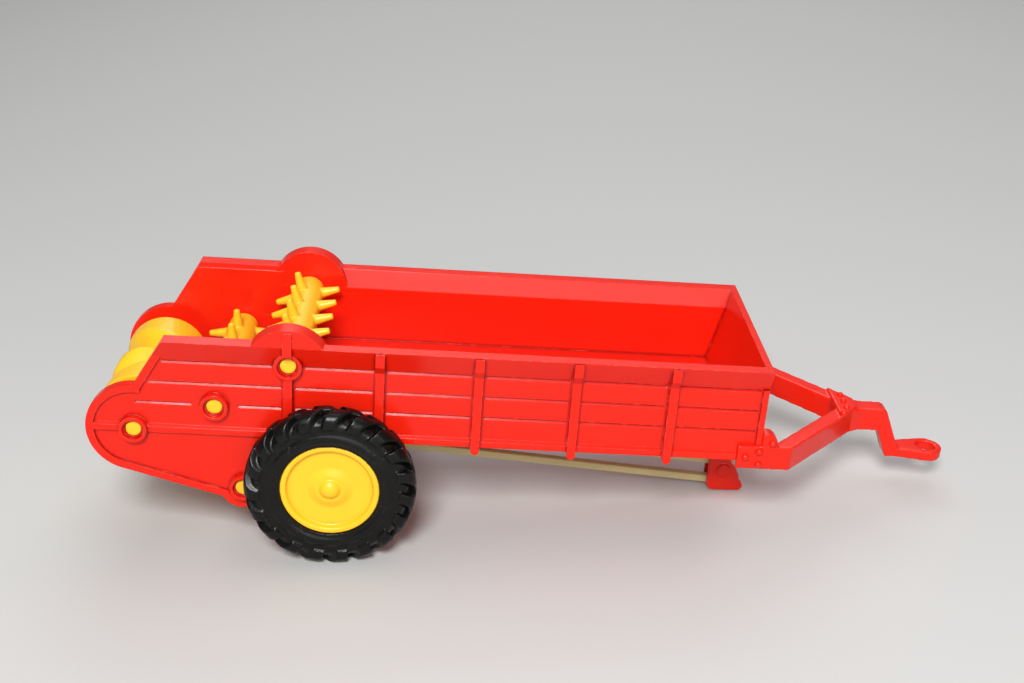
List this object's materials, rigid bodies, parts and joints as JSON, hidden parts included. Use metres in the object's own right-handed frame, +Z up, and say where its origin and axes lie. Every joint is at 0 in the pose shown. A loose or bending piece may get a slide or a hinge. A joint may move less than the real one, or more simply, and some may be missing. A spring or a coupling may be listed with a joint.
{
  "type": "toy manure spreader",
  "caption": "Die-cast toy manure spreader: open planked tub with tined beaters and a rear spiral, lugged wheels, A-frame drawbar with a hitch eye, front stand and rubber drive band.",
  "frame": {"origin": "centre of the bounding box at ground level, standing parked on the tyres and the stand", "axes": "+X forward to the hitch eye, +Y to the left side, +Z up"},
  "size_m": [0.1204, 0.0384, 0.0334],
  "materials": {
    "red_paint": "gloss paint",
    "yellow_plastic": "gloss",
    "tyre_rubber": "satin",
    "band_rubber": "matt",
    "axle_steel": "plain"
  },
  "bodies": {
    "frame": {"tub": "red_paint", "drawbar": "red_paint", "stand": "red_paint", "drive_band": "band_rubber"},
    "wheelset": {"axle": "axle_steel", "hub_right": "yellow_plastic", "hub_left": "yellow_plastic", "tyre_right": "tyre_rubber", "tyre_left": "tyre_rubber"},
    "upper_beater": {"upper_beater": "yellow_plastic"},
    "lower_beater": {"lower_beater": "yellow_plastic"},
    "rear_spiral": {"rear_spiral": "yellow_plastic"},
    "low_shaft": {"low_shaft": "yellow_plastic"}
  },
  "joints": [
    {"name": "wheelset_spin", "type": "hinge", "parent": "frame", "child": "wheelset", "pos_m": [-0.02785, 0, 0.0115], "axis": [0, 1, 0], "continuous": true},
    {"name": "upper_beater_spin", "type": "hinge", "parent": "frame", "child": "upper_beater", "pos_m": [-0.0326, 0, 0.02779], "axis": [0, 1, 0], "continuous": true},
    {"name": "lower_beater_spin", "type": "hinge", "parent": "frame", "child": "lower_beater", "pos_m": [-0.04279, 0, 0.02214], "axis": [0, 1, 0], "continuous": true},
    {"name": "rear_spiral_spin", "type": "hinge", "parent": "frame", "child": "rear_spiral", "pos_m": [-0.05382, 0, 0.01917], "axis": [0, 1, 0], "continuous": true},
    {"name": "low_shaft_spin", "type": "hinge", "parent": "frame", "child": "low_shaft", "pos_m": [-0.04003, 0, 0.00983], "axis": [0, 1, 0], "continuous": true}
  ]
}
